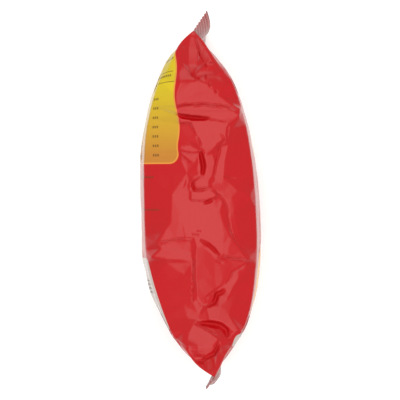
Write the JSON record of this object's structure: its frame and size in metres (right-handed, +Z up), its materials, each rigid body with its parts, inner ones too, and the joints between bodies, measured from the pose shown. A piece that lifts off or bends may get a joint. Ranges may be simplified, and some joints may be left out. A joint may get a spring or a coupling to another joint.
{
  "type": "bag of crisps",
  "caption": "Puffed pillow bag of crisps in glossy printed film, shut by a flat crimped seal at each end, with slack folds along the narrow side, lying on its other narrow side.",
  "frame": {"origin": "on the surface that the bag lies on, under the middle of its outline", "axes": "+Y along the bag towards its top seal, +X out of the front panel, +Z up out of the narrow side that shows"},
  "size_m": [0.0795, 0.24, 0.1608],
  "materials": {
    "film": "glossy printed film"
  },
  "bodies": {
    "root": {"bag": "film"}
  },
  "joints": []
}
